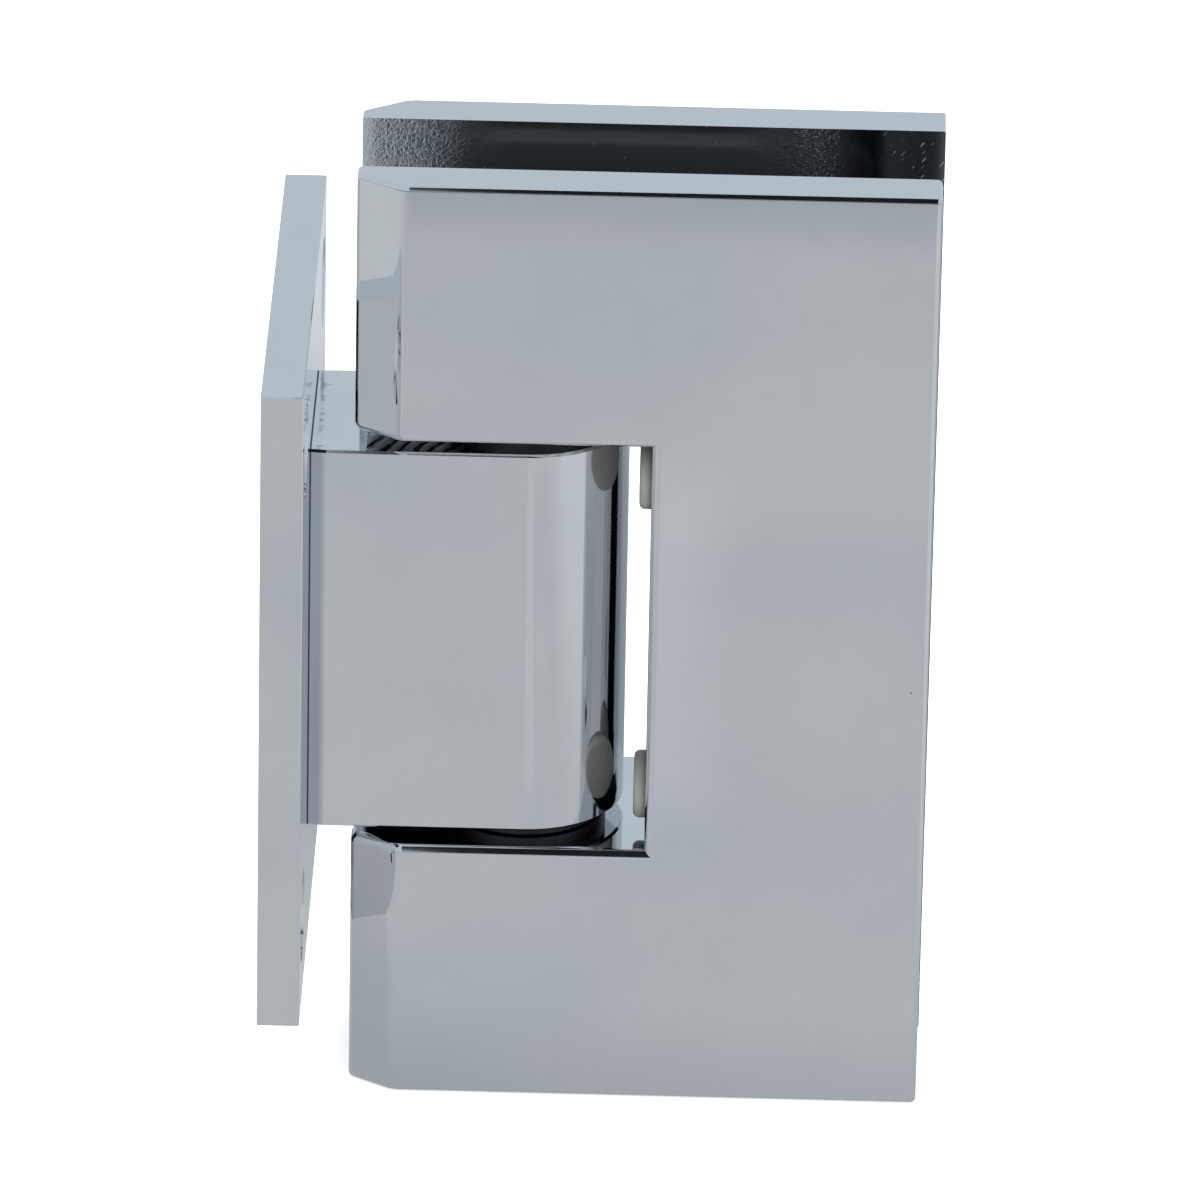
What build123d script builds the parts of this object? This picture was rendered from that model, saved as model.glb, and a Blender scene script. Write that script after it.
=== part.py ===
from build123d import *
from math import hypot
import os

# Wall-to-glass shower door hinge in polished chromed brass.
#
# Millimetres. The origin is the centre of the wall plate's back face, which
# lies on the wall. +X points away from the wall and along the closed door,
# +Y points to the rear of the hinge, where the clamp screws are, and +Z is up.
# The door turns about a vertical pin at x = pivot_x, y = 0.
#
# The wall leaf is the wall plate, the knuckle block on it, and what is inside
# the knuckle. The glass clamp is a front plate with a boss, a rear plate that
# is screwed to the boss, two gaskets, the pin and two stop buttons.

os.makedirs("parts", exist_ok=True)

# ---- fits ----
thread_play = 0.02          # radial, screw in its tapped hole
press_play = 0.02           # radial, bush in the knuckle and pin in the arms
running_play = 0.05         # radial, pin in its bushes
head_play = 0.05            # radial, screw head in its countersink
leaf_play = 0.2             # leaf spring and its backer in their slot
gasket_play = 0.4           # gasket round the boss
thrust_play = 0.2           # axial, bush flange to the arm of the clamp
swing_clearance = 2.25      # clamp corner past the face of the wall plate

# ---- screws ----
clamp_screw_diameter = 4.0
clamp_screw_head = 7.5
clamp_screw_length = 12.0
clamp_screw_socket = 2.5
knuckle_screw_diameter = 5.0
knuckle_screw_head = 9.2
knuckle_screw_length = 14.0
knuckle_screw_socket = 3.0
pin_screw_diameter = 4.0
pin_screw_length = 8.0
pin_screw_socket = 2.0
countersink_angle = 90.0
socket_share = 0.45         # socket depth as a share of the screw's diameter
tapped_spare = 1.5          # tapped hole past the end of its screw
screw_wall = 1.5            # metal beside the screws in the arms of the clamp
web_wall = 2.4              # metal beside the screws in the web of the clamp
head_margin = 0.75          # screw head to the chamfer of the rear plate
pin_wall = 1.1              # metal between a clamp screw and the pin

# ---- glass and clamp plates ----
glass_thickness = 8.0
gasket_thickness = 1.5
gasket_inset = 6.0          # gasket edge inside the plate edge
gasket_corner = 3.0
clamp_plate_thickness = 4.5
end_grip = 12.5             # plate above and below the boss
side_grip = 16.5            # plate beyond the boss, along the door
rear_overhang = 0.3         # rear plate wider than the front one, at the door side
chamfer_run = 4.0           # long wall-side chamfer, along X
chamfer_depth = 2.65        # the same chamfer, along Y
chamfer_blend = 2.4         # radius where the chamfer meets the broad face
clamp_edge_radius = 0.5     # front plate's edges
pocket_edge_radius = 0.8    # its edges round the pocket
rear_edge = 0.15            # bevel round the rear plate's outer face
pocket_corner = 0.95        # arm corners at the open side of the pocket
boss_inset = 1.0            # boss behind the plates' wall-side edge
boss_corner = 6.0

# ---- pin, bushes and detent ----
pin_diameter = 8.0
pin_recess = 0.5            # pin end below the end of the boss
pin_end_chamfer = 0.6
cam_lift = 0.7              # depth of the pin's flats
bush_wall = 1.4
bush_flange_radius = 7.4
bush_flange_thickness = 1.1
bush_gap = 0.5              # bush end to the leaf spring slot
leaf_thickness = 0.8
leaf_width = 8.0
leaf_half_height = 10.0
leaf_bow_spare = 0.2        # bow left when the pin has turned off its flat
flat_margin = 0.5           # pin flat shorter than the leaf at each end
backer_relief = 0.6
backer_pad = 2.0            # height of each end pad that carries the leaf

# ---- knuckle ----
knuckle_thickness = 18.0
knuckle_screw_wall = 1.75
knuckle_edge = 0.22         # bevel round the top and bottom faces
knuckle_foot = 1.4          # shallow roll-off beside the wall plate
knuckle_foot_drop = 0.15
pocket_gap = 2.1            # round end of the knuckle to the pocket wall

# ---- stop buttons ----
stop_diameter = 6.2
stop_clearance = 1.0        # button face to the round end of the knuckle
stop_rim = 0.45
stop_stem_diameter = 3.0
stop_stem_length = 4.0
stop_margin = 1.5           # button edge to the arm of the clamp
stop_front_inset = 1.65     # button edge behind the front face

# ---- wall plate ----
wall_plate_thickness = 3.8
wall_plate_depth = 50.0
wall_plate_height = 62.0
wall_plate_edge = 0.1       # broken edge
wall_screw_hole = 4.6
wall_screw_head = 8.6
wall_screw_edge_y = 6.4     # hole centre to the plate's vertical edge
wall_screw_edge_z = 8.0     # hole centre to the plate's top or bottom edge

# ---- sizes that follow ----
glass_gap = glass_thickness + 2 * gasket_thickness
inner_y = glass_gap / 2
outer_y = inner_y + clamp_plate_thickness
side_flat_y = outer_y - chamfer_depth

pin_radius = pin_diameter / 2
pin_flat = pin_radius - cam_lift
clamp_reach = (chamfer_run + head_margin + clamp_screw_head / 2
               + clamp_screw_diameter / 2 + pin_wall + pin_radius)
swing_radius = max(hypot(clamp_reach, side_flat_y), hypot(clamp_reach - chamfer_run, outer_y))
pivot_x = wall_plate_thickness + swing_radius + swing_clearance

slot_half = leaf_half_height + leaf_play
knuckle_half = slot_half + knuckle_screw_diameter + 2 * knuckle_screw_wall
knuckle_radius = knuckle_thickness / 2
knuckle_screw_z = slot_half + knuckle_screw_wall + knuckle_screw_diameter / 2
bush_radius = pin_radius + running_play + bush_wall
bush_length = knuckle_half - slot_half - bush_gap

pocket_half = knuckle_half + bush_flange_thickness + thrust_play
pocket_x = pivot_x + knuckle_radius + pocket_gap
arm_height = pin_screw_diameter + clamp_screw_diameter + 3 * screw_wall
boss_half = pocket_half + arm_height
boss_left = pivot_x - clamp_reach + boss_inset
boss_right = pocket_x + clamp_screw_diameter + 2 * web_wall
clamp_left = pivot_x - clamp_reach
clamp_right = boss_right + side_grip
clamp_half = boss_half + end_grip

pin_half = boss_half - pin_recess
pin_screw_z = pocket_half + screw_wall + pin_screw_diameter / 2
clamp_screw_z = boss_half - screw_wall - clamp_screw_diameter / 2
clamp_screw_xs = {
    "wall_side": clamp_left + chamfer_run + head_margin + clamp_screw_head / 2,
    "door_side": (pocket_x + boss_right) / 2,
}
levels = {"upper": 1, "lower": -1}

leaf_front_x = pivot_x - pin_flat
leaf_bow = cam_lift + leaf_bow_spare
backer_x = leaf_front_x - leaf_bow - leaf_thickness

stop_radius = stop_diameter / 2
stop_z = pocket_half - stop_margin - stop_radius
stop_y = -(outer_y - stop_front_inset - stop_radius)
stop_height = pocket_gap - stop_clearance


def at_y(y):
    """Upright plane facing the front, at depth y: local x is X, local y is Z."""
    return Plane.XZ.offset(-y)


def at_x(x):
    """Upright plane facing away from the wall, at distance x: local x is Y, local y is Z."""
    return Plane.YZ.offset(x)


def turned_profile_plane(seat):
    """Plane through the seat's axis: local x is the radius, local y runs along the axis."""
    return Plane(origin=seat.origin, x_dir=seat.x_dir, z_dir=-seat.y_dir)


def finish(built, node):
    """Label a finished piece with its node's name and write its STEP file."""
    built.part.label = node
    export_step(built.part, f"parts/{node}.step")


def countersunk_screw(node, seat, diameter, head, length, socket):
    """Countersunk socket screw whose flat head top lies on the seat plane."""
    radius = diameter / 2
    head_radius = head / 2
    with BuildPart() as screw:
        with BuildSketch(turned_profile_plane(seat)):
            with BuildLine():
                Polyline(
                    (0, 0), (head_radius, 0), (radius, head_radius - radius), (radius, length),
                    (0, length), close=True,
                )
            make_face()
        revolve(axis=Axis(seat.origin, seat.z_dir))
        with BuildSketch(seat):
            RegularPolygon(socket / 2, 6, major_radius=False)
        extrude(amount=diameter * socket_share, mode=Mode.SUBTRACT)
    finish(screw, node)


# ---- wall plate: four wall screw holes, two knuckle screw holes from behind ----
wall_screw_spacing_y = wall_plate_depth - 2 * wall_screw_edge_y
wall_screw_spacing_z = wall_plate_height - 2 * wall_screw_edge_z

with BuildPart() as wall_plate:
    with BuildSketch(at_x(0)):
        Rectangle(wall_plate_depth, wall_plate_height)
    extrude(amount=wall_plate_thickness)
    back = wall_plate.edges().group_by(Axis.X)[0]
    chamfer(wall_plate.edges() - back, wall_plate_edge)
    with Locations(at_x(wall_plate_thickness)):
        with GridLocations(wall_screw_spacing_y, wall_screw_spacing_z, 2, 2):
            CounterSinkHole(
                wall_screw_hole / 2, wall_screw_head / 2, counter_sink_angle=countersink_angle,
            )
    with Locations(Plane(origin=(0, 0, 0), x_dir=(0, 1, 0), z_dir=(-1, 0, 0))):
        with GridLocations(0, 2 * knuckle_screw_z, 1, 2):
            CounterSinkHole(
                knuckle_screw_diameter / 2 + thread_play, knuckle_screw_head / 2 + head_play,
                counter_sink_angle=countersink_angle,
            )
finish(wall_plate, "wall_plate")

# ---- knuckle: block with a full-round end about the pin ----
with BuildPart() as knuckle:
    with BuildSketch(Plane.XY.offset(-knuckle_half)):
        with BuildLine():
            seat_half = knuckle_radius - knuckle_foot_drop
            foot_x = wall_plate_thickness + knuckle_foot
            Line((wall_plate_thickness, seat_half), (wall_plate_thickness, -seat_half))
            Line((wall_plate_thickness, -seat_half), (foot_x, -knuckle_radius))
            Line((foot_x, -knuckle_radius), (pivot_x, -knuckle_radius))
            ThreePointArc(
                (pivot_x, -knuckle_radius), (pivot_x + knuckle_radius, 0), (pivot_x, knuckle_radius),
            )
            Line((pivot_x, knuckle_radius), (foot_x, knuckle_radius))
            Line((foot_x, knuckle_radius), (wall_plate_thickness, seat_half))
        make_face()
    extrude(amount=2 * knuckle_half)
    rims = knuckle.edges().group_by(Axis.Z)[0] + knuckle.edges().group_by(Axis.Z)[-1]
    chamfer(
        [edge for edge in rims if edge.center().X > wall_plate_thickness + knuckle_foot / 4],
        knuckle_edge,
    )
    with BuildSketch(Plane.XY):
        with Locations((pivot_x, 0)):
            Circle(bush_radius + press_play)
    extrude(amount=knuckle_half, both=True, mode=Mode.SUBTRACT)
    with BuildSketch(at_x(wall_plate_thickness)):
        Rectangle(leaf_width + 2 * leaf_play, 2 * slot_half)
    extrude(amount=pivot_x - wall_plate_thickness, mode=Mode.SUBTRACT)
    with BuildSketch(at_x(wall_plate_thickness)):
        with GridLocations(0, 2 * knuckle_screw_z, 1, 2):
            Circle(knuckle_screw_diameter / 2 + thread_play)
    extrude(amount=knuckle_screw_length - wall_plate_thickness + tapped_spare, mode=Mode.SUBTRACT)
finish(knuckle, "knuckle")

# ---- two screws hold the knuckle from behind the wall plate ----
for level, side in levels.items():
    countersunk_screw(
        f"knuckle_screw_{level}",
        Plane(origin=(0, 0, side * knuckle_screw_z), x_dir=(0, 1, 0), z_dir=(1, 0, 0)),
        knuckle_screw_diameter, knuckle_screw_head, knuckle_screw_length, knuckle_screw_socket,
    )

# ---- flanged bushes, pressed in from both ends of the knuckle ----
for level, side in levels.items():
    with BuildPart() as bush:
        with BuildSketch(Plane.XZ):
            with BuildLine():
                bore = pin_radius + running_play
                inner_end = side * (knuckle_half - bush_length)
                face = side * knuckle_half
                rim = side * (knuckle_half + bush_flange_thickness)
                Polyline(
                    (pivot_x + bore, inner_end), (pivot_x + bush_radius, inner_end),
                    (pivot_x + bush_radius, face), (pivot_x + bush_flange_radius, face),
                    (pivot_x + bush_flange_radius, rim), (pivot_x + bore, rim), close=True,
                )
            make_face()
        revolve(axis=Axis((pivot_x, 0, 0), (0, 0, 1)))
    finish(bush, f"bush_{level}")

# ---- bowed leaf spring, its crest on the pin's flat when the door is closed ----
with BuildPart() as detent_leaf:
    with BuildSketch(Plane.XZ):
        with BuildLine():
            end_x = leaf_front_x - leaf_bow
            front_ends = [(end_x, -leaf_half_height), (end_x, leaf_half_height)]
            back_ends = [(x - leaf_thickness, z) for x, z in front_ends]
            ThreePointArc(front_ends[0], (leaf_front_x, 0), front_ends[1])
            ThreePointArc(back_ends[0], (leaf_front_x - leaf_thickness, 0), back_ends[1])
            Line(front_ends[0], back_ends[0])
            Line(front_ends[1], back_ends[1])
        make_face()
    extrude(amount=leaf_width / 2, both=True)
finish(detent_leaf, "detent_leaf")

# ---- backer block between the wall plate and the two ends of the leaf ----
with BuildPart() as spring_backer:
    with BuildSketch(at_x(wall_plate_thickness)):
        Rectangle(leaf_width, 2 * leaf_half_height)
    extrude(amount=backer_x - wall_plate_thickness)
    with BuildSketch(at_x(backer_x)):
        Rectangle(leaf_width, 2 * (leaf_half_height - backer_pad))
    extrude(amount=-backer_relief, mode=Mode.SUBTRACT)
finish(spring_backer, "spring_backer")


def clamp_outline(side, right):
    """Outline seen from above of one clamp plate, front (side -1) or rear (side 1)."""
    with BuildSketch(Plane.XY.offset(-clamp_half)) as outline:
        with BuildLine():
            Polyline(
                (clamp_left, side * inner_y), (right, side * inner_y), (right, side * outer_y),
                (clamp_left + chamfer_run, side * outer_y), (clamp_left, side * side_flat_y),
                close=True,
            )
        make_face()
        blended = [v for v in outline.vertices() if v.X == clamp_left + chamfer_run]
        fillet(blended, chamfer_blend)
    return outline.sketch


def pocket_outline():
    """The knuckle's pocket, open at the wall side of both clamp plates."""
    with BuildSketch(Plane.XZ) as outline:
        with Locations((pocket_x, 0)):
            Rectangle(
                2 * (pocket_x - clamp_left), 2 * pocket_half, align=(Align.MAX, Align.CENTER),
            )
    return outline.sketch


def pocket_corners(plate):
    """Edges of a clamp plate at its two arm corners, on the pocket's open side."""
    upright = plate.edges().filter_by(Axis.Y).group_by(Axis.X)[0]
    return [edge for edge in upright if abs(edge.center().Z) < boss_half]


def outer_edges(plate, side):
    """Edges off a clamp plate's inner face, front (side -1) or rear, but no pocket corners."""
    across = plate.edges().filter_by(Axis.Y)
    corners = [edge for edge in across if abs(edge.center().Z) < boss_half]
    return [
        edge for edge in plate.edges() - corners
        if round(side * edge.center().Y - inner_y, 3) > 0
    ]


# ---- front plate, one piece with the boss that holds the pin ----
with BuildPart() as front_plate:
    add(clamp_outline(-1, clamp_right))
    extrude(amount=2 * clamp_half)
    with BuildSketch(at_y(-inner_y)) as boss:
        with Locations((boss_left, 0)):
            Rectangle(boss_right - boss_left, 2 * boss_half, align=(Align.MIN, Align.CENTER))
        fillet(boss.vertices().group_by(Axis.X)[-1], boss_corner)
    extrude(amount=-glass_gap)
    extrude(pocket_outline(), amount=2 * outer_y, both=True, mode=Mode.SUBTRACT)
    fillet(pocket_corners(front_plate), pocket_corner)
    edges = outer_edges(front_plate, -1)
    pocket_edges = [
        edge for edge in edges
        if edge.center().X < pocket_x + clamp_edge_radius and abs(edge.center().Z) < boss_half
    ]
    fillet(pocket_edges, pocket_edge_radius)
    fillet([edge for edge in edges if edge not in pocket_edges], clamp_edge_radius)
    with BuildSketch(Plane.XY):
        with Locations((pivot_x, 0)):
            Circle(pin_radius + press_play)
    extrude(amount=boss_half, both=True, mode=Mode.SUBTRACT)
    with BuildSketch(at_x(boss_left)):
        with GridLocations(0, 2 * pin_screw_z, 1, 2):
            Circle(pin_screw_diameter / 2 + thread_play)
    extrude(amount=pivot_x - boss_left, mode=Mode.SUBTRACT)
    with BuildSketch(at_y(inner_y)):
        for x in clamp_screw_xs.values():
            with Locations((x, clamp_screw_z), (x, -clamp_screw_z)):
                Circle(clamp_screw_diameter / 2 + thread_play)
    extrude(amount=clamp_screw_length - clamp_plate_thickness + tapped_spare, mode=Mode.SUBTRACT)
    with BuildSketch(at_x(pocket_x)):
        with Locations((stop_y, stop_z), (stop_y, -stop_z)):
            Circle(stop_stem_diameter / 2 + press_play)
    extrude(amount=stop_stem_length, mode=Mode.SUBTRACT)
finish(front_plate, "front_plate")

# ---- rear plate, screwed to the boss ----
with BuildPart() as rear_plate:
    add(clamp_outline(1, clamp_right + rear_overhang))
    extrude(amount=2 * clamp_half)
    extrude(pocket_outline(), amount=2 * outer_y, both=True, mode=Mode.SUBTRACT)
    fillet(pocket_corners(rear_plate), pocket_corner)
    chamfer(outer_edges(rear_plate, 1), rear_edge)
    with Locations(Plane(origin=(0, outer_y, 0), x_dir=(1, 0, 0), z_dir=(0, 1, 0))):
        for x in clamp_screw_xs.values():
            with Locations((x, clamp_screw_z), (x, -clamp_screw_z)):
                CounterSinkHole(
                    clamp_screw_diameter / 2 + thread_play, clamp_screw_head / 2 + head_play,
                    counter_sink_angle=countersink_angle,
                )
finish(rear_plate, "rear_plate")

for column, x in clamp_screw_xs.items():
    for level, side in levels.items():
        countersunk_screw(
            f"clamp_screw_{column}_{level}",
            Plane(origin=(x, outer_y, side * clamp_screw_z), x_dir=(1, 0, 0), z_dir=(0, -1, 0)),
            clamp_screw_diameter, clamp_screw_head, clamp_screw_length, clamp_screw_socket,
        )

# ---- C-shaped gaskets on the inner faces, round the boss ----
gasket_left = clamp_left + gasket_inset
gasket_right = clamp_right - gasket_inset
gasket_half = clamp_half - gasket_inset

for place, y in {"front": -inner_y + gasket_thickness, "rear": inner_y}.items():
    with BuildPart() as gasket:
        with BuildSketch(at_y(y)):
            with BuildSketch(mode=Mode.PRIVATE) as sheet:
                with Locations((gasket_left, 0)):
                    Rectangle(
                        gasket_right - gasket_left, 2 * gasket_half, align=(Align.MIN, Align.CENTER),
                    )
                fillet(sheet.vertices(), gasket_corner)
            with BuildSketch(mode=Mode.PRIVATE) as notch:
                with Locations((boss_right + gasket_play, 0)):
                    Rectangle(
                        boss_right, 2 * (boss_half + gasket_play), align=(Align.MAX, Align.CENTER),
                    )
                fillet(notch.vertices().group_by(Axis.X)[-1], boss_corner)
            add(sheet.sketch)
            add(notch.sketch, mode=Mode.SUBTRACT)
        extrude(amount=gasket_thickness)
    finish(gasket, f"{place}_gasket")

# ---- pin: a middle flat for the leaf spring and two end flats for its screws ----
with BuildPart() as hinge_pin:
    with BuildSketch(Plane.XY.offset(-pin_half)):
        with Locations((pivot_x, 0)):
            Circle(pin_radius)
    extrude(amount=2 * pin_half)
    chamfer(hinge_pin.edges(), pin_end_chamfer)
    with BuildSketch(at_x(leaf_front_x)):
        Rectangle(2 * pin_diameter, 2 * (leaf_half_height - flat_margin))
        with GridLocations(0, 2 * pin_screw_z, 1, 2):
            Rectangle(2 * pin_diameter, pin_screw_diameter + 2 * flat_margin)
    extrude(amount=-pin_diameter, mode=Mode.SUBTRACT)
finish(hinge_pin, "hinge_pin")

# ---- set screws that bear on the pin's end flats, through the side of each arm ----
for level, side in levels.items():
    with BuildPart() as pin_set_screw:
        with BuildSketch(at_x(leaf_front_x)):
            with Locations((0, side * pin_screw_z)):
                Circle(pin_screw_diameter / 2)
        extrude(amount=-pin_screw_length)
        chamfer(pin_set_screw.edges().group_by(Axis.X)[-1], pin_screw_diameter / 8)
        with BuildSketch(at_x(leaf_front_x - pin_screw_length)):
            with Locations((0, side * pin_screw_z)):
                RegularPolygon(pin_screw_socket / 2, 6, major_radius=False)
        extrude(amount=pin_screw_diameter * socket_share, mode=Mode.SUBTRACT)
    finish(pin_set_screw, f"pin_set_screw_{level}")

# ---- soft stop buttons, plugged into the inner wall of the pocket ----
for level, side in levels.items():
    with BuildPart() as stop_button:
        with BuildSketch(at_x(pocket_x)):
            with Locations((stop_y, side * stop_z)):
                Circle(stop_radius)
        extrude(amount=-stop_height)
        chamfer(stop_button.edges().group_by(Axis.X)[0], stop_rim)
        with BuildSketch(at_x(pocket_x)):
            with Locations((stop_y, side * stop_z)):
                Circle(stop_stem_diameter / 2)
        extrude(amount=stop_stem_length)
    finish(stop_button, f"stop_button_{level}")
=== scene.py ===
import math

import bpy
import numpy as np
from mathutils import Matrix, Vector


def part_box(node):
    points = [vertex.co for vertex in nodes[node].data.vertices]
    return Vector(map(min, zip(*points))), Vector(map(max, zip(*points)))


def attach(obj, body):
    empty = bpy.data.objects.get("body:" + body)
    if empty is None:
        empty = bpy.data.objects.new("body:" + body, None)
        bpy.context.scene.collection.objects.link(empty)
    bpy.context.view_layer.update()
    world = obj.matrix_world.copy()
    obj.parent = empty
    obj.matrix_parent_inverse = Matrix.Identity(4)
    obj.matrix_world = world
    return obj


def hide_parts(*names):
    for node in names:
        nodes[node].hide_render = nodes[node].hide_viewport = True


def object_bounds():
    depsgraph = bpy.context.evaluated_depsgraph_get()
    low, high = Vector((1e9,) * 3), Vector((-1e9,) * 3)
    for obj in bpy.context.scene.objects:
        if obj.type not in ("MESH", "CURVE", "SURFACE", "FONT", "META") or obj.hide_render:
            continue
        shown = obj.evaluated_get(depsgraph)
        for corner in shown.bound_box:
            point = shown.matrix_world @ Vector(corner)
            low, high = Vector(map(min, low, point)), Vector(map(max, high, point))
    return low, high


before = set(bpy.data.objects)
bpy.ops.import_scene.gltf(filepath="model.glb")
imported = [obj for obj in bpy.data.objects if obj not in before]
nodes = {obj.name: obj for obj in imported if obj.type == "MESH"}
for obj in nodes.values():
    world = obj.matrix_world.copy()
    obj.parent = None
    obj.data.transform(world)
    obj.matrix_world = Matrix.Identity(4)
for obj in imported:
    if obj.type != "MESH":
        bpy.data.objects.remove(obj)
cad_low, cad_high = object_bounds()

# ---- Wall plate -------------------------------------------------------------
# A brass plate that four countersunk screws hold to the wall. It is buffed,
# nickelled and chromed: a near mirror with a faint swell under the plating,
# a little finger haze and a few pinholes.
MM = 0.001


def linear(code):
    """An sRGB hex colour as linear RGBA: the standard curve, with alpha 1."""
    parts = [int(code[i:i + 2], 16) / 255 for i in (1, 3, 5)]
    curve = [c / 12.92 if c <= 0.04045 else ((c + 0.055) / 1.055) ** 2.4 for c in parts]
    return (*curve, 1.0)


def feed(tree, node, values):
    """Give a node its settings and links. A (node, output) pair is linked to the input of
    that name, and anything else is set on the property or the input of that name."""
    for key, value in values.items():
        if isinstance(value, tuple) and isinstance(value[0], bpy.types.Node):
            source, output = value
            tree.links.new(source.outputs[output], node.inputs[key])
        elif isinstance(key, str) and hasattr(node, key):
            setattr(node, key, value)
        else:
            node.inputs[key].default_value = value
    return node


def add(tree, kind, values, output=None):
    """Add a node with its settings and links: the node, or the pair of it and its output."""
    node = feed(tree, tree.nodes.new(kind), values)
    return node if output is None else (node, output)


def start_material(name):
    """A new material: its tree, its Principled shader and its object coordinates."""
    material = bpy.data.materials.new(name)
    material.use_nodes = True
    tree = material.node_tree
    tree.nodes.clear()
    shader = add(tree, "ShaderNodeBsdfPrincipled", {})
    add(tree, "ShaderNodeOutputMaterial", {"Surface": (shader, "BSDF")})
    spot = add(tree, "ShaderNodeTexCoord", {}, "Object")
    return material, tree, shader, spot


def per_metre(millimetres):
    """Texture scale of a pattern that repeats once in so many millimetres."""
    return 1.0 / (millimetres * MM)


def dress(material, *names):
    """Give CAD nodes one material in all their slots."""
    for name in names:
        slots = nodes[name].data.materials
        slots.clear()
        slots.append(material)


def polished_chrome(name, smoothest=0.03, roughest=0.07):
    """Bright chrome over nickel on buffed brass; returns all that a face may vary."""
    chrome_tone, hazed_tone, pit_tone = linear("#E3E5E7"), linear("#C4C8CC"), linear("#1C1E20")
    haze_width, pit_spacing, swell_width = 7, 7.5, 11
    pit_core, pit_rim = 0.008, 0.015
    swell_depth = 0.2 * MM
    material, tree, shader, spot = start_material(name)
    haze = add(tree, "ShaderNodeTexNoise", {
        "Scale": per_metre(haze_width), "Detail": 6.0, "Roughness": 0.65, "Vector": spot}, "Fac")
    hazed_share = add(tree, "ShaderNodeMapRange", {
        "Value": haze, "From Min": 0.3, "From Max": 0.8, "To Max": 0.16}, "Result")
    hazed = add(tree, "ShaderNodeMix", {
        "data_type": "RGBA", 0: hazed_share, 6: chrome_tone, 7: hazed_tone}, 2)
    from_pit = add(tree, "ShaderNodeTexVoronoi", {
        "Scale": per_metre(pit_spacing), "Vector": spot}, "Distance")
    pit = add(tree, "ShaderNodeMapRange", {
        "Value": from_pit, "From Min": pit_rim, "From Max": pit_core}, "Result")
    colour = add(tree, "ShaderNodeMix", {"data_type": "RGBA", 0: pit, 6: hazed, 7: pit_tone}, 2)
    rough = add(tree, "ShaderNodeMapRange", {
        "Value": haze, "From Min": 0.35, "From Max": 0.75, "To Min": smoothest,
        "To Max": roughest}, "Result")
    swell = add(tree, "ShaderNodeTexNoise", {
        "Scale": per_metre(swell_width), "Detail": 2.0, "Vector": spot}, "Fac")
    normal = add(tree, "ShaderNodeBump", {
        "Strength": 0.05, "Distance": swell_depth, "Height": swell}, "Normal")
    feed(tree, shader, {"Metallic": 1.0, "Base Color": colour, "Roughness": rough,
                        "Normal": normal})
    return material, tree, shader, spot, colour, rough, normal


dress(polished_chrome("wall_plate_chrome")[0], "wall_plate")

# ---- Knuckle ----------------------------------------------------------------
# The block that the pin runs through, drawn against the wall plate by two
# screws from behind. A fine dark line shows the joint. Beside it plating salts
# have crept over the top, and on the sides a strip along the joint has a painted
# darker, bluer reflection.


def region(tree, *bounds):
    """How far a place lies in a region, from 0 to 1. Each bound (value, outside, inside)
    gives a share that rises evenly from 0 where the value is at outside to 1 where it is
    at inside, held beyond both, and the shares are multiplied."""
    share = 1.0
    for value, outside, inside in bounds:
        part = add(tree, "ShaderNodeMapRange", {
            "Value": value, "From Min": outside, "From Max": inside}, "Result")
        share = add(tree, "ShaderNodeMath", {"operation": "MULTIPLY", 0: share, 1: part}, "Value")
    return share


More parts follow.
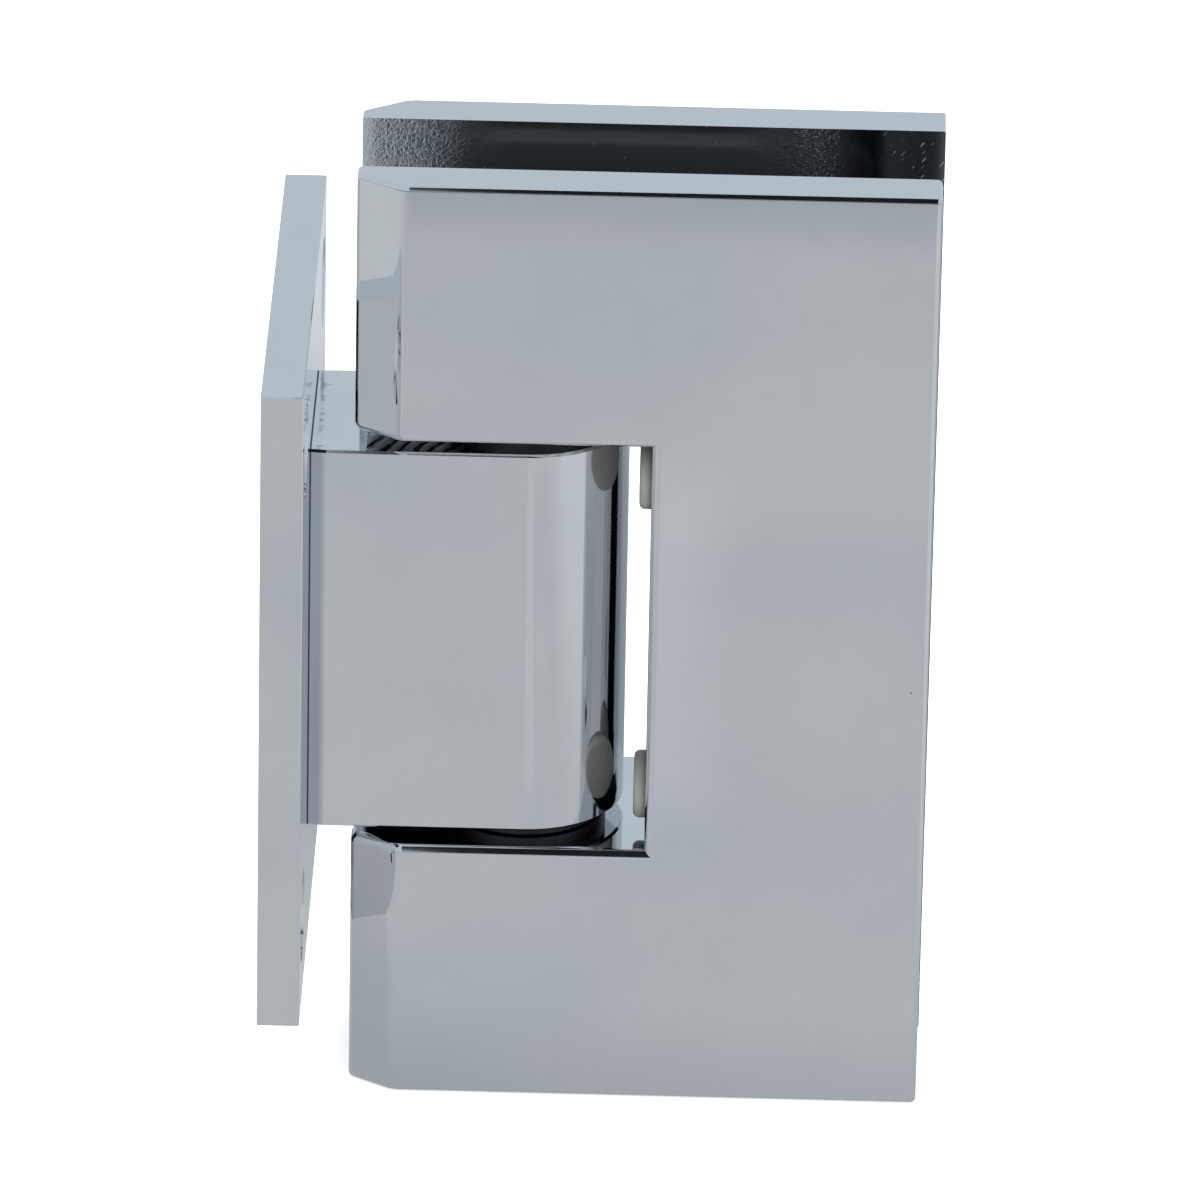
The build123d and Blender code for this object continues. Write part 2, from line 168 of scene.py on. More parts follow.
def tarnished_seam(name, seat_x, top_z):
    """Polished chrome, but marked beside the joint at x = seat_x: whiskers of salts on the
    face at z = top_z, and below it a strip with a painted darker, bluer reflection."""
    joint_tone, painted_reflection_tone = linear("#26292C"), linear("#C0C8D2")
    joint_width, joint_share, whisker_share = 0.1 * MM, 0.9, 0.6
    whisker_width, patch_width = 0.9, 2.4
    material, tree, shader, spot, colour, *_ = polished_chrome(name, 0.05, 0.11)
    axes = add(tree, "ShaderNodeSeparateXYZ", {"Vector": spot})
    from_seat = add(tree, "ShaderNodeMath", {
        "operation": "SUBTRACT", 0: (axes, "X"), 1: seat_x}, "Value")
    below_top = add(tree, "ShaderNodeMath", {
        "operation": "SUBTRACT", 0: top_z, 1: (axes, "Z")}, "Value")
    in_joint = add(tree, "ShaderNodeMapRange", {
        "Value": from_seat, "From Min": joint_width, "From Max": joint_width / 2,
        "To Max": joint_share}, "Result")

    # Salts show where a noise, drawn out along x, is above what they need to creep there.
    # The need grows with the distance from the joint and is higher in some patches.
    drawn_out = add(tree, "ShaderNodeMapping", {"Scale": (0.5, 1.6, 1.0), "Vector": spot}, "Vector")
    creep = add(tree, "ShaderNodeTexNoise", {
        "Scale": per_metre(whisker_width), "Detail": 5.0, "Roughness": 0.7, "Distortion": 0.8,
        "Vector": drawn_out}, "Fac")
    distant = add(tree, "ShaderNodeMapRange", {
        "Value": from_seat, "From Min": 0.5 * MM, "From Max": 1.9 * MM, "To Min": 0.4,
        "To Max": 0.72}, "Result")
    patches = add(tree, "ShaderNodeTexNoise", {
        "Scale": per_metre(patch_width), "Detail": 1.0, "Vector": spot}, "Fac")
    clean = add(tree, "ShaderNodeMapRange", {
        "Value": patches, "From Min": 0.38, "From Max": 0.6, "To Max": 0.16}, "Result")
    need = add(tree, "ShaderNodeMath", {"operation": "ADD", 0: distant, 1: clean}, "Value")
    excess = add(tree, "ShaderNodeMath", {"operation": "SUBTRACT", 0: creep, 1: need}, "Value")
    on_top = region(tree, (excess, 0.0, 0.1), (from_seat, 0.4 * MM, 0.75 * MM),
                    (below_top, 0.03 * MM, 0.01 * MM))
    whiskers = add(tree, "ShaderNodeMath", {
        "operation": "MULTIPLY", 0: on_top, 1: whisker_share}, "Value")
    either = add(tree, "ShaderNodeMath", {"operation": "MAXIMUM", 0: in_joint, 1: whiskers}, "Value")
    salted = add(tree, "ShaderNodeMix", {
        "data_type": "RGBA", 0: either, 6: colour, 7: joint_tone}, 2)

    # Painted reflection: a strip on the sides beside the joint is tinted darker and bluer.
    painted_reflection_strip = region(tree, (from_seat, 1.3 * MM, 0.9 * MM), (below_top, 0.03 * MM, 0.06 * MM))
    reflection_painted = add(tree, "ShaderNodeMix", {
        "data_type": "RGBA", 0: painted_reflection_strip, 6: salted, 7: painted_reflection_tone}, 2)
    joined = add(tree, "ShaderNodeMix", {
        "data_type": "RGBA", 0: in_joint, 6: reflection_painted, 7: joint_tone}, 2)
    feed(tree, shader, {"Base Color": joined})
    return material


dress(tarnished_seam("knuckle_chrome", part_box("wall_plate")[1][0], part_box("knuckle")[1][2]),
      "knuckle")

# ---- Screws -----------------------------------------------------------------
# Countersunk socket screws in A2 stainless steel, forged and thread-rolled.
# Each is one closed surface: socket, flat head, cone, rolled thread and tip.


def closed_surface(name, rings, material):
    """A closed mesh from rings of points: neighbours are joined by quads, and the
    first and last ring, each a single place, close the ends with fans."""
    rows, columns = rings.shape[:2]
    first = rings[0].mean(axis=0)
    last = rings[-1].mean(axis=0)
    points = np.concatenate([first[None], rings[1:-1].reshape(-1, 3), last[None]])
    row = np.arange(rows - 3)[:, None]
    column = np.arange(columns)[None]
    after = (column + 1) % columns
    quads = np.stack([1 + row * columns + column, 1 + (row + 1) * columns + column,
                      1 + (row + 1) * columns + after, 1 + row * columns + after],
                     axis=-1).reshape(-1, 4)
    around = np.arange(columns)
    fan = np.stack([np.zeros(columns, int), 1 + around, 1 + (around + 1) % columns], axis=-1)
    end = 1 + (rows - 3) * columns
    cap = np.stack([np.full(columns, len(points) - 1), end + (around + 1) % columns,
                    end + around], axis=-1)
    mesh = bpy.data.meshes.new(name)
    mesh.from_pydata(points.tolist(), [], quads.tolist() + fan.tolist() + cap.tolist())
    mesh.materials.append(material)
    piece = bpy.data.objects.new(name, mesh)
    bpy.context.collection.objects.link(piece)
    return piece


def turned_rings(profile, seat, inward, columns=48):
    """Rings of a turned shape: profile gives (radius, depth) for each ring and each angle,
    depth is measured from seat along inward."""
    inward = np.asarray(inward, float)
    side = np.cross(inward, (0.0, 0.0, 1.0))
    side /= np.linalg.norm(side)
    rise = np.cross(inward, side)
    angle = np.arange(columns) * 2 * math.pi / columns
    around = np.cos(angle)[:, None] * side + np.sin(angle)[:, None] * rise
    radius, depth = profile(angle)
    return (np.asarray(seat, float) + radius[..., None] * around[None]
            + depth[..., None] * inward)


def hexagon(angle, across):
    """Radius of a hexagon at each angle: half its width across flats over the cosine
    of the angle from the nearest flat's middle."""
    sixth = math.pi / 3
    return across / 2 / np.cos((angle + sixth / 2) % sixth - sixth / 2)


def thread_wave(angle, depth, pitch):
    """Height of a rolled thread from 0 to 1: a triangle wave along the axis that
    advances by one pitch with each turn, cut off at 1 for a slightly flat crest."""
    peak = 1.15
    phase = (depth / pitch + angle / (2 * math.pi)) % 1.0
    return np.clip(peak - 2 * peak * np.abs(phase - 0.5), 0.0, 1.0)


def screw_profile(diameter, head, length, socket, pitch):
    """Side view of a countersunk socket screw. The thread is cut into the shank by its depth
    times what the wave leaves off, and fades in over one pitch below the head. A set screw
    has None for its head, and a chamfered socket end."""
    radius = diameter / 2
    end_chamfer = 0.4 * MM
    mouth = head / 2 if head else radius - end_chamfer
    shoulder = head / 2 - radius if head else end_chamfer
    socket_depth = 0.45 * diameter
    socket_lead = 0.15 * MM
    socket_flare = 0.12 * MM
    mouth_bevel = 0.06 * MM
    flat_share = 0.97
    thread_depth = 0.54 * pitch
    neck = 0.1 * MM
    steps_a_pitch = 8
    tip = diameter / 8
    tip_taper = 0.6

    def profile(angle):
        flat = np.ones_like(angle)
        wall = hexagon(angle, socket)
        root = radius - thread_depth
        start = [(0.0, socket_depth), (0.5 * wall, socket_depth), (wall, socket_depth),
                 (wall, socket_lead), (wall + socket_flare, 0.0), (mouth * flat_share, 0.0),
                 (mouth, mouth_bevel), (radius, shoulder)]
        end = [(root, length - tip), (root - tip_taper * tip, length), (0.0, length)]
        along = np.arange(shoulder + neck, length - tip, pitch / steps_a_pitch)[:, None]
        fade = np.clip((along - shoulder) / pitch, 0, 1)
        thread = radius - thread_depth * fade * (1 - thread_wave(angle, along, pitch))
        return (np.vstack([[r * flat for r, _ in start], thread, [r * flat for r, _ in end]]),
                np.vstack([[d * flat for _, d in start], along * flat, [d * flat for _, d in end]]))

    return profile


def stainless(name):
    """Thread-rolled A2 stainless: a grey metal with a soft sheen and faint flow marks."""
    steel_tone = linear("#B7B5B1")
    grain_width, grain_depth = 0.5, 0.02 * MM
    material, tree, shader, spot = start_material(name)
    grain = add(tree, "ShaderNodeTexNoise", {
        "Scale": per_metre(grain_width), "Detail": 3.0, "Vector": spot}, "Fac")
    rough = add(tree, "ShaderNodeMapRange", {
        "Value": grain, "From Min": 0.3, "From Max": 0.7, "To Min": 0.2, "To Max": 0.36}, "Result")
    normal = add(tree, "ShaderNodeBump", {
        "Strength": 0.15, "Distance": grain_depth, "Height": grain}, "Normal")
    feed(tree, shader, {"Base Color": steel_tone, "Metallic": 1.0, "Roughness": rough,
                        "Normal": normal})
    return material


screw_steel = stainless("screw_stainless")


def replace_screw(node, body, inward, head, diameter, socket, pitch):
    """Make a threaded screw where a plain CAD one is, from the CAD screw's own box."""
    low, high = (np.array(corner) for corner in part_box(node))
    axis = int(np.argmax(np.abs(inward)))
    head_width = next(high[i] - low[i] for i in range(3) if i != axis)
    length = high[axis] - low[axis]
    seat = (low + high) / 2
    seat[axis] = low[axis] if inward[axis] > 0 else high[axis]
    profile = screw_profile(diameter, head_width if head else None, length, socket, pitch)
    piece = closed_surface(node + "_threaded", turned_rings(profile, seat, inward), screw_steel)
    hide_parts(node)
    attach(piece, body)


for level in ("upper", "lower"):
    replace_screw("knuckle_screw_" + level, "wall_leaf", (1, 0, 0), head=True,
                  diameter=5 * MM, socket=3 * MM, pitch=0.8 * MM)
    replace_screw("pin_set_screw_" + level, "glass_clamp", (1, 0, 0), head=False,
                  diameter=4 * MM, socket=2 * MM, pitch=0.7 * MM)
    for column in ("wall_side", "door_side"):
        replace_screw(f"clamp_screw_{column}_{level}", "glass_clamp", (0, -1, 0), head=True,
                      diameter=4 * MM, socket=2.5 * MM, pitch=0.7 * MM)

# ---- Bushes and spring backer -----------------------------------------------
# Black acetal: the bushes are turned from rod, the backer is moulded. Acetal
# is a waxy plastic with a soft, even sheen and very fine tool marks.


def acetal(name):
    """Black acetal under an uneven sheen. The tool's rings, a sine wave along the pin's
    axis, are drawn coarser than real ones so that they show."""
    acetal_tone = linear("#1A1B1D")
    ring_pitch, ring_depth, mottle_width = 0.25, 0.01 * MM, 2
    material, tree, shader, spot = start_material(name)
    axes = add(tree, "ShaderNodeSeparateXYZ", {"Vector": spot})
    turns = add(tree, "ShaderNodeMath", {
        "operation": "MULTIPLY", 0: (axes, "Z"), 1: 2 * math.pi * per_metre(ring_pitch)}, "Value")
    rings = add(tree, "ShaderNodeMath", {"operation": "SINE", 0: turns}, "Value")
    normal = add(tree, "ShaderNodeBump", {
        "Strength": 0.1, "Distance": ring_depth, "Height": rings}, "Normal")
    mottle = add(tree, "ShaderNodeTexNoise", {
        "Scale": per_metre(mottle_width), "Detail": 3.0, "Vector": spot}, "Fac")
    rough = add(tree, "ShaderNodeMapRange", {
        "Value": mottle, "From Min": 0.3, "From Max": 0.7, "To Min": 0.35, "To Max": 0.48}, "Result")
    feed(tree, shader, {"Base Color": acetal_tone, "IOR": 1.48, "Roughness": rough,
                        "Normal": normal})
    return material


dress(acetal("black_acetal"), "bush_upper", "bush_lower", "spring_backer")

# ---- Leaf spring ------------------------------------------------------------
# A strip of hardened spring steel inside the knuckle, tempered to a dark straw
# and blue oxide.


def tempered_steel(name):
    """Spring steel whose oxide passes softly from blue to straw."""
    blue_oxide, straw_oxide, patch_width = linear("#4A5364"), linear("#6D5F55"), 5
    material, tree, shader, spot = start_material(name)
    heat = add(tree, "ShaderNodeTexNoise", {
        "Scale": per_metre(patch_width), "Detail": 2.0, "Vector": spot}, "Fac")
    colour = add(tree, "ShaderNodeMix", {
        "data_type": "RGBA", 0: heat, 6: blue_oxide, 7: straw_oxide}, 2)
    feed(tree, shader, {"Base Color": colour, "Metallic": 1.0, "Roughness": 0.3})
    return material


dress(tempered_steel("tempered_spring_steel"), "detent_leaf")

# ---- Front and rear clamp plates --------------------------------------------
# Die-cast brass, buffed outside before plating. The upper arm's face in the
# pocket keeps its cutter marks. The rear plate's inner face keeps the cast skin:
# wrinkled near the ends, smooth and dark between, with scratches, and painted
# shade darkening it towards the door's end.


def milled_arm(name, arm_z):
    """Polished chrome, but with a cutter's marks under it on the arm face at z = arm_z."""
    mark_pitch, mark_depth, mark_slant = 1.3, 0.02 * MM, math.radians(-26)
    material, tree, shader, spot, _, rough, normal = polished_chrome(name)
    axes = add(tree, "ShaderNodeSeparateXYZ", {"Vector": spot})
    above_arm = add(tree, "ShaderNodeMath", {
        "operation": "SUBTRACT", 0: (axes, "Z"), 1: arm_z}, "Value")
    off = add(tree, "ShaderNodeMath", {"operation": "ABSOLUTE", 0: above_arm}, "Value")
    facing = add(tree, "ShaderNodeSeparateXYZ", {
        "Vector": add(tree, "ShaderNodeTexCoord", {}, "Normal")})
    level = add(tree, "ShaderNodeMath", {"operation": "ABSOLUTE", 0: (facing, "Z")}, "Value")
    on_arm = region(tree, (off, 0.05 * MM, 0.02 * MM), (level, 0.97, 0.99))
    slanted = add(tree, "ShaderNodeMapping", {
        "vector_type": "TEXTURE", "Rotation": (0.0, 0.0, mark_slant), "Vector": spot}, "Vector")
    # The wave texture's bands repeat at each pi / 10 of its coordinate.
    marks = add(tree, "ShaderNodeTexWave", {
        "Scale": per_metre(mark_pitch) * math.pi / 10, "Distortion": 2.0, "Detail": 2.0,
        "Detail Scale": 1.5, "Vector": slanted}, "Fac")
    height = add(tree, "ShaderNodeMath", {"operation": "MULTIPLY", 0: marks, 1: on_arm}, "Value")
    cut = add(tree, "ShaderNodeBump", {
        "Strength": 1.0, "Distance": mark_depth, "Height": height, "Normal": normal}, "Normal")
    dull = add(tree, "ShaderNodeMapRange", {
        "Value": marks, "From Min": 0.3, "From Max": 0.7, "To Min": 0.08, "To Max": 0.5}, "Result")
    uneven = add(tree, "ShaderNodeMix", {"data_type": "FLOAT", 0: on_arm, 2: rough, 3: dull}, 0)
    feed(tree, shader, {"Roughness": uneven, "Normal": cut})
    return material


def cast_inside(name, inner_y, left_x, right_x):
    """Polished chrome outside; on the inner face at y = inner_y the cast skin shows. The
    door's edge of the plate is at right_x, and the other one, slightly rolled, at left_x."""
    door_end_shade_tone = linear("#666A70")
    skin_width, skin_depth, roll_width = 0.32, 0.088 * MM, 1.4 * MM
    scratch_width, scratch_length, scratch_slant = 0.25, 7.0, math.radians(-50)
    material, tree, shader, spot, colour, rough, normal = polished_chrome(name)
    axes = add(tree, "ShaderNodeSeparateXYZ", {"Vector": spot})
    from_left = add(tree, "ShaderNodeMath", {
        "operation": "SUBTRACT", 0: (axes, "X"), 1: left_x}, "Value")
    from_right = add(tree, "ShaderNodeMath", {
        "operation": "SUBTRACT", 0: right_x, 1: (axes, "X")}, "Value")
    from_face = add(tree, "ShaderNodeMath", {
        "operation": "SUBTRACT", 0: (axes, "Y"), 1: inner_y}, "Value")
    inside = region(tree, (from_face, 0.06 * MM, 0.02 * MM))

    # The skin is wrinkled beside the wall, and less so beyond the gasket's end at the door.
    skin = add(tree, "ShaderNodeTexNoise", {
        "Scale": per_metre(skin_width), "Detail": 3.0, "Distortion": 0.9, "Vector": spot}, "Fac")
    left_part = region(tree, (from_left, 13 * MM, 4 * MM))
    right_part = add(tree, "ShaderNodeMath", {
        "operation": "MULTIPLY", 1: 0.7,
        0: region(tree, (from_right, 18 * MM, 13 * MM), (from_right, 8 * MM, 10 * MM))}, "Value")
    either = add(tree, "ShaderNodeMath", {
        "operation": "MAXIMUM", 0: left_part, 1: right_part}, "Value")
    amount = add(tree, "ShaderNodeMath", {"operation": "MULTIPLY", 0: inside, 1: either}, "Value")
    wrinkles = add(tree, "ShaderNodeMath", {"operation": "MULTIPLY", 0: skin, 1: amount}, "Value")

    # The rolled edge drops with the square of the distance from where it starts.
    rolled = add(tree, "ShaderNodeMapRange", {
        "Value": from_left, "From Min": roll_width, "From Max": 0.0, "To Max": 1.3}, "Result")
    square = add(tree, "ShaderNodeMath", {"operation": "POWER", 0: rolled, 1: 2.0}, "Value")
    drop = add(tree, "ShaderNodeMath", {"operation": "MULTIPLY", 0: square, 1: inside}, "Value")
    height = add(tree, "ShaderNodeMath", {"operation": "SUBTRACT", 0: wrinkles, 1: drop}, "Value")
    cast = add(tree, "ShaderNodeBump", {
        "Strength": 1.0, "Distance": skin_depth, "Height": height, "Normal": normal}, "Normal")

    # Slanting scratches are where a drawn-out noise is above a need that falls towards the
    # door. Between them, near the door's end, painted shade darkens the face.
    slanted = add(tree, "ShaderNodeMapping", {
        "vector_type": "TEXTURE", "Rotation": (0.0, scratch_slant, 0.0),
        "Scale": (scratch_length, 1.0, 1.0), "Vector": spot}, "Vector")
    scrape = add(tree, "ShaderNodeTexNoise", {
        "Scale": per_metre(scratch_width), "Detail": 1.0, "Vector": slanted}, "Fac")
    need = add(tree, "ShaderNodeMapRange", {
        "Value": from_right, "From Min": 4 * MM, "From Max": 7 * MM, "To Min": 0.655,
        "To Max": 0.73}, "Result")
    excess = add(tree, "ShaderNodeMath", {"operation": "SUBTRACT", 0: scrape, 1: need}, "Value")
    door_end_shade = region(tree, (from_right, 11.5 * MM, 7.5 * MM), (excess, 0.03, 0.0),
                  (from_face, 0.06 * MM, 0.02 * MM))
    # Painted shade: the inner face darkens towards the door's end, except on the scratches.
    toned = add(tree, "ShaderNodeMix", {"data_type": "RGBA", 0: door_end_shade, 6: colour, 7: door_end_shade_tone}, 2)

    # The sheen is the dullest of the scratches, the skin and a haze that starts beyond the
    # gasket's end and clears towards the edge.
    scratched = add(tree, "ShaderNodeMapRange", {
        "Value": excess, "From Min": 0.0, "From Max": 0.03, "To Max": 0.45}, "Result")
    skinned = add(tree, "ShaderNodeMapRange", {"Value": amount, "To Min": 0.09, "To Max": 0.13}, "Result")
    clearing = add(tree, "ShaderNodeMapRange", {
        "Value": from_right, "From Min": 1 * MM, "From Max": 4.8 * MM, "To Min": 0.15,
        "To Max": 0.38}, "Result")
    haze = add(tree, "ShaderNodeMath", {
        "operation": "MULTIPLY", 0: region(tree, (from_right, 7 * MM, 5.2 * MM)), 1: clearing}, "Value")
    worn = add(tree, "ShaderNodeMath", {"operation": "MAXIMUM", 0: scratched, 1: haze}, "Value")
    dullest = add(tree, "ShaderNodeMath", {"operation": "MAXIMUM", 0: worn, 1: skinned}, "Value")
    uneven = add(tree, "ShaderNodeMix", {"data_type": "FLOAT", 0: inside, 2: rough, 3: dullest}, 0)
    feed(tree, shader, {"Base Color": toned, "Roughness": uneven, "Normal": cast})
    return material


bush_play = 0.2 * MM
upper_arm_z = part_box("bush_upper")[1][2] + bush_play
rear_low, rear_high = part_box("rear_plate")
dress(cast_inside("rear_plate_chrome", rear_low[1], rear_low[0], rear_high[0]), "rear_plate")
dress(milled_arm("front_plate_chrome", upper_arm_z), "front_plate")

# ---- Gaskets ----------------------------------------------------------------
# Black rubber sheet, 1.5 mm thick, stamped to go round the boss. It is matt,
# with a fine grain from the calender.


def sheet_rubber(name):
    """Black rubber, matt, with a grain drawn coarser than the real one so that it shows."""
    rubber_tone = linear("#3A3C3E")
    grain_width, grain_depth = 0.35, 0.03 * MM
    material, tree, shader, spot = start_material(name)
    grain = add(tree, "ShaderNodeTexNoise", {
        "Scale": per_metre(grain_width), "Detail": 2.0, "Vector": spot}, "Fac")
    normal = add(tree, "ShaderNodeBump", {
        "Strength": 0.3, "Distance": grain_depth, "Height": grain}, "Normal")
    feed(tree, shader, {"Base Color": rubber_tone, "Roughness": 0.62, "Normal": normal})
    return material


dress(sheet_rubber("black_rubber_sheet"), "front_gasket", "rear_gasket")

# ---- Hinge pin --------------------------------------------------------------
# Centreless-ground stainless steel with three milled flats. The grinding leaves
# fine rings round it.


def ground_steel(name):
    """Ground stainless: a noise drawn out across the pin's axis gives rings in its sheen,
    coarser than real ones so that they show."""
    pin_tone, ring_width = linear("#BDBBB8"), 0.15
    material, tree, shader, spot = start_material(name)
    drawn_out = add(tree, "ShaderNodeMapping", {
        "Scale": (0.05, 0.05, 1.0), "Vector": spot}, "Vector")
    rings = add(tree, "ShaderNodeTexNoise", {
        "Scale": per_metre(ring_width), "Detail": 2.0, "Vector": drawn_out}, "Fac")
    rough = add(tree, "ShaderNodeMapRange", {
        "Value": rings, "From Min": 0.3, "From Max": 0.7, "To Min": 0.14, "To Max": 0.3}, "Result")
    feed(tree, shader, {"Base Color": pin_tone, "Metallic": 1.0, "Roughness": rough})
    return material


dress(ground_steel("ground_stainless"), "hinge_pin")

# ---- Stop buttons -----------------------------------------------------------
# Moulded nylon buttons, plugged into the inner wall of the pocket, that the
# knuckle meets when the door opens too far. Warm grey, satin, slightly dirty.


def moulded_nylon(name):
    """Warm grey nylon, satin from the mould, with soft patches of grime."""
    grimy_tone, clean_tone, patch_width = linear("#7D7D76"), linear("#8F8F87"), 1.6
    material, tree, shader, spot = start_material(name)
    grime = add(tree, "ShaderNodeTexNoise", {
        "Scale": per_metre(patch_width), "Detail": 4.0, "Vector": spot}, "Fac")
    colour = add(tree, "ShaderNodeMix", {
        "data_type": "RGBA", 0: grime, 6: grimy_tone, 7: clean_tone}, 2)
    feed(tree, shader, {"Base Color": colour, "Roughness": 0.42, "IOR": 1.53})
    return material


button_nylon = moulded_nylon("grey_nylon")
stem_radius, stem_length, button_rim = 1.5 * MM, 4 * MM, 0.55 * MM


def button_profile(radius, height):
    """Side view of a button: a stem, a flat back, and a face whose rim is a quarter round."""
    stem_chamfer = 0.3 * MM
    face = radius - button_rim

    def profile(angle):
        flat = np.ones_like(angle)
        turn = np.linspace(0, math.pi / 2, 9)
        radii = np.concatenate([
            [0.0, face * 0.5], face + button_rim * np.sin(turn),
            [radius, stem_radius, stem_radius, stem_radius - stem_chamfer, 0.0]])
        depths = np.concatenate([
            [-height, -height], -height + button_rim - button_rim * np.cos(turn),
            [0.0, 0.0, stem_length - stem_chamfer, stem_length, stem_length]])
        return radii[:, None] * flat, depths[:, None] * flat

    return profile


for level in ("upper", "lower"):
    low, high = (np.array(corner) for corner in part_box("stop_button_" + level))
    wall_x = high[0] - stem_length
    seat = (wall_x, (low[1] + high[1]) / 2, (low[2] + high[2]) / 2)
    profile = button_profile((high[1] - low[1]) / 2, wall_x - low[0])
    button = closed_surface("stop_button_moulded_" + level,
                            turned_rings(profile, seat, (1, 0, 0)), button_nylon)
    for polygon in button.data.polygons:
        polygon.use_smooth = True
    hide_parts("stop_button_" + level)
    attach(button, "glass_clamp")

# ---- Floor, light and camera ------------------------------------------------
# A white table in an evenly bright room. A grey sheet on the table and a pale
# blue dome, which only the reflections see, give the faces their tones; the sheet
# glows, and holds painted shade in front of the hinge. A dark hood in front and
# overhead draws the dark line along the upper edges.


def glow(name, tone):
    """A glowing material for a panel: the material, its tree and its light."""
    material = bpy.data.materials.new(name)
    material.use_nodes = True
    tree = material.node_tree
    tree.nodes.clear()
    light = add(tree, "ShaderNodeEmission", {"Color": linear(tone), "Strength": 1.0})
    add(tree, "ShaderNodeOutputMaterial", {"Surface": (light, "Emission")})
    return material, tree, light


def table_glow(name, middle_x):
    """The table's tone in reflections: layers, each with its tone, its share at most and
    the bounds of its region in metres, laid over one another."""
    patch_width, strip_x = 45, 0.033
    material, tree, light = glow(name, "#C0C4C7")
    spot = add(tree, "ShaderNodeTexCoord", {}, "Object")
    axes = add(tree, "ShaderNodeSeparateXYZ", {"Vector": spot})
    x, y = (axes, "X"), (axes, "Y")
    patches = add(tree, "ShaderNodeTexNoise", {
        "Scale": per_metre(patch_width), "Detail": 1.0, "Vector": spot}, "Fac")
    sideways = []
    for line_x in (middle_x, strip_x):
        off = add(tree, "ShaderNodeMath", {"operation": "SUBTRACT", 0: x, 1: line_x}, "Value")
        sideways.append(add(tree, "ShaderNodeMath", {"operation": "ABSOLUTE", 0: off}, "Value"))
    from_middle, from_strip = sideways
    hinge_shade_fade = add(tree, "ShaderNodeMapRange", {
        "Value": x, "From Min": 0.015, "From Max": 0.06, "To Min": 0.9, "To Max": 0.3}, "Result")
    layers = [
        ("#C5C8C8", 1.0, [(patches, 0.35, 0.65)]),
        ("#CCD1D4", 1.0, [(from_middle, 0.07, 0.17)]),
        ("#D1D6DA", 1.0, [(x, 0.075, 0.12)]),
        ("#A3ABB3", 1.0, [(y, 0.0, 0.06)]),
        ("#D3D8DD", 1.0, [(y, 0.11, 0.17)]),
        ("#CED3D7", 0.6, [(from_strip, 0.009, 0.003), (y, -0.155, -0.14), (y, -0.065, -0.08)]),
        # Painted shade: just in front of the hinge the reflected table is darker, fading towards the
        # door.
        ("#AAB0B6", hinge_shade_fade, [(y, -0.032, -0.012), (y, 0.0, -0.01)]),
        ("#AEB4B9", 1.0, [(y, -0.206, -0.222)]),
        ("#565B61", 1.0, [(y, -0.24, -0.8)]),
    ]
    tone = linear("#BDC2C8")
    for layer_tone, most, bounds in layers:
        share = add(tree, "ShaderNodeMath", {
            "operation": "MULTIPLY", 0: region(tree, *bounds), 1: most}, "Value")
        tone = add(tree, "ShaderNodeMix", {
            "data_type": "RGBA", 0: share, 6: tone, 7: linear(layer_tone)}, 2)
    feed(tree, light, {"Color": tone})
    return material


def open_surface(name, grid, material):
    """A sheet mesh over a grid of points, its neighbours joined by quads."""
    rows, columns = grid.shape[:2]
    index = np.arange(rows * columns).reshape(rows, columns)
    quads = np.stack([index[:-1, :-1], index[:-1, 1:], index[1:, 1:], index[1:, :-1]], axis=-1)
    mesh = bpy.data.meshes.new(name)
    mesh.from_pydata(grid.reshape(-1, 3).tolist(), [], quads.reshape(-1, 4).tolist())
    mesh.materials.append(material)
    piece = bpy.data.objects.new(name, mesh)
    bpy.context.collection.objects.link(piece)
    return piece


def only_reflected(piece):
    """Let only glossy surfaces see a panel."""
    piece.visible_camera = False
    piece.visible_diffuse = False
    piece.visible_transmission = False
    piece.visible_shadow = False


def flat_sheet(name, half, height, material):
    """A square level sheet at the given height."""
    across, along = np.meshgrid([-half, half], [-half, half], indexing="ij")
    grid = np.stack([across, along, np.full_like(across, height)], axis=-1)
    return open_surface(name, grid, material)


def hood(name, radius, material, rows=24):
    """Part of a cylinder about the X axis: angle 0 is the front, 90 overhead. Between its
    stations along X, the lowest and the highest angle change evenly."""
    station = np.array([-0.079, -0.065, -0.056, -0.047, 0.09, 0.9])
    lowest = np.array([61.0, 55.0, 22.0, 2.0, -1.0, -1.0])
    highest = np.array([70.0, 70.0, 76.0, 80.0, 102.0, 102.0])
    share = np.linspace(0, 1, rows)[:, None]
    angle = np.radians(lowest + share * (highest - lowest))
    grid = np.stack([np.broadcast_to(station, angle.shape), -radius * np.cos(angle),
                     radius * np.sin(angle)], axis=-1)
    return open_surface(name, grid, material)


def dome(name, radius, material, lowest=-3, highest=89, rows=24, columns=49):
    """Most of a half sphere: each point is the radius in the direction of its turn and its
    elevation, which runs from the lowest to the highest angle in degrees."""
    elevation, turn = np.meshgrid(np.radians(np.linspace(lowest, highest, rows)),
                                  np.radians(np.linspace(0, 360, columns)), indexing="ij")
    direction = [np.cos(elevation) * np.cos(turn), np.cos(elevation) * np.sin(turn),
                 np.sin(elevation)]
    return open_surface(name, radius * np.stack(direction, axis=-1), material)


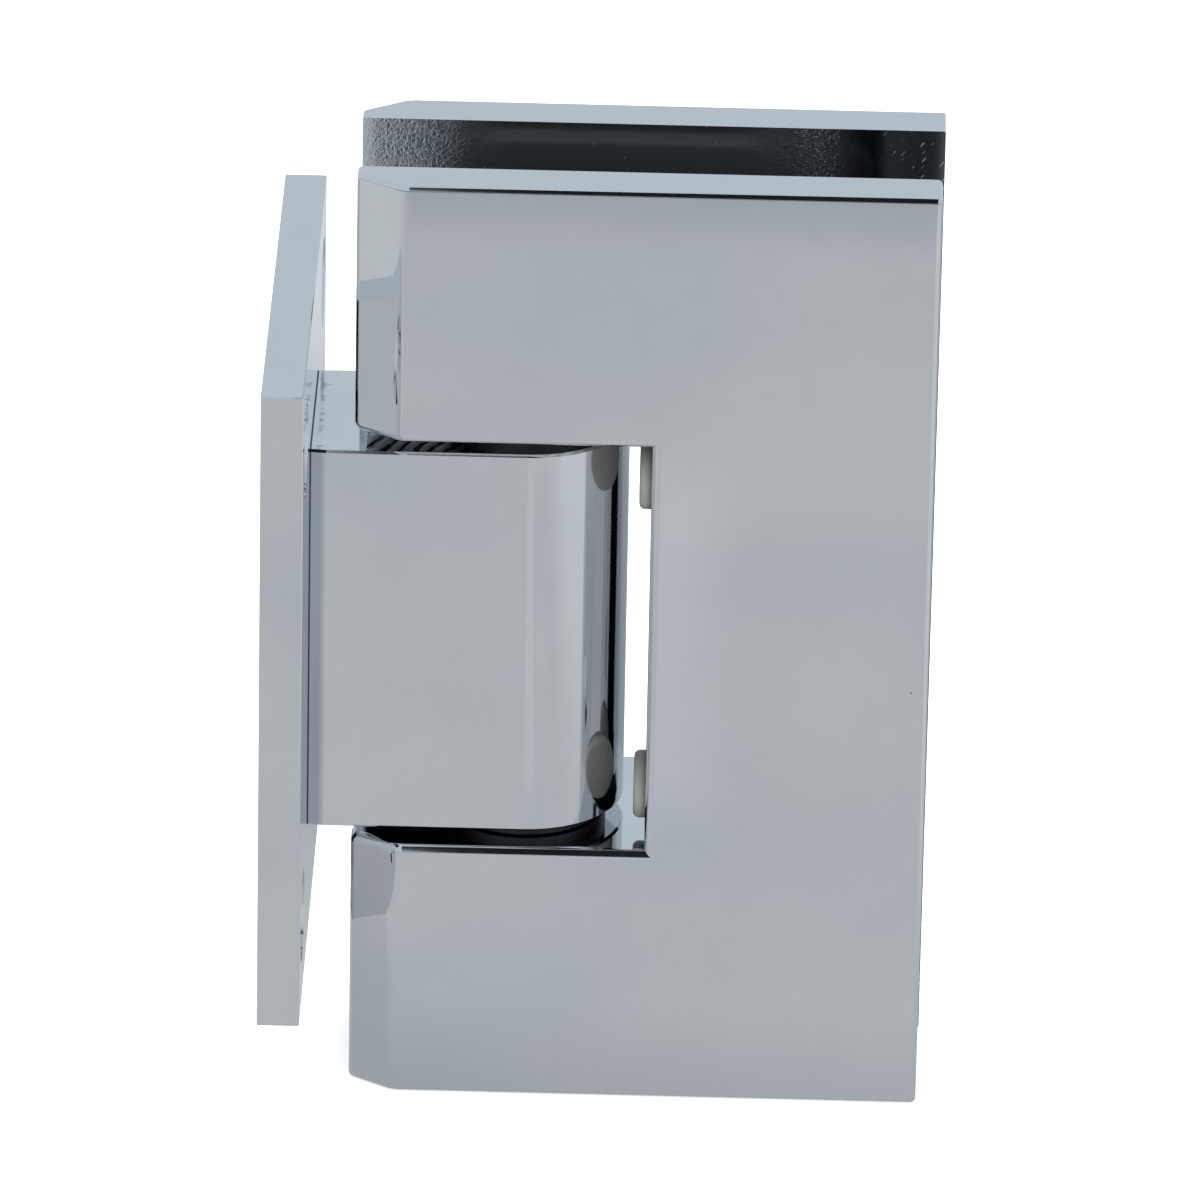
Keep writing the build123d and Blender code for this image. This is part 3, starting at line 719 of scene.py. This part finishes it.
def opal_acrylic(name):
    """Opal acrylic, matt on top and lit a little from below, as on a display table."""
    opal_tone, light_tone = linear("#F6F6F6"), linear("#FFFFFF")
    frosting_width, frosting_depth = 3, 0.1 * MM
    material, tree, shader, spot = start_material(name)
    frosting = add(tree, "ShaderNodeTexNoise", {
        "Scale": per_metre(frosting_width), "Detail": 3.0, "Vector": spot}, "Fac")
    normal = add(tree, "ShaderNodeBump", {
        "Strength": 0.05, "Distance": frosting_depth, "Height": frosting}, "Normal")
    feed(tree, shader, {"Base Color": opal_tone, "Roughness": 0.9, "Emission Color": light_tone,
                        "Emission Strength": 0.35, "Normal": normal})
    return material


floor_z = cad_low[2]
middle_x = (cad_low[0] + cad_high[0]) / 2
sheet_drop = 1 * MM
floor = flat_sheet("floor", half=3.0, height=floor_z, material=opal_acrylic("opal_acrylic"))
floor.visible_glossy = False
only_reflected(flat_sheet("table_tone", half=1.5, height=floor_z - sheet_drop,
                          material=table_glow("table_grey", middle_x)))
only_reflected(hood("front_hood", radius=2.4, material=glow("hood_black", "#1C1F22")[0]))
only_reflected(dome("room", radius=2.8, material=glow("room_pale_blue", "#C7D3DB")[0]))

world = bpy.data.worlds.new("studio")
bpy.context.scene.world = world
world.use_nodes = True
sky = world.node_tree.nodes["Background"]
feed(world.node_tree, sky, {"Color": linear("#FCFDFF"), "Strength": 1.6})

camera_distance = 1.1575
camera_turn = math.radians(0.78)
camera_height = math.radians(25.05)
camera_roll = math.radians(-1.08)
camera_aim = Vector((0.02985, 0.0, 0.00043))

forward = Vector((-math.sin(camera_turn) * math.cos(camera_height),
                  math.cos(camera_turn) * math.cos(camera_height), -math.sin(camera_height)))
right = Vector((math.cos(camera_turn), math.sin(camera_turn), 0.0))
down = forward.cross(right)
right, down = (math.cos(camera_roll) * right + math.sin(camera_roll) * down,
               -math.sin(camera_roll) * right + math.cos(camera_roll) * down)
camera_data = bpy.data.cameras.new("camera")
camera_data.lens = 382.8
camera_data.sensor_width = 36.0
camera_data.clip_end = 20.0
camera = bpy.data.objects.new("camera", camera_data)
axes_of_view = Matrix((right, -down, -forward)).transposed().to_4x4()
camera.matrix_world = Matrix.Translation(camera_aim - forward * camera_distance) @ axes_of_view
bpy.context.collection.objects.link(camera)
bpy.context.scene.camera = camera
bpy.context.scene.view_settings.view_transform = "Standard"
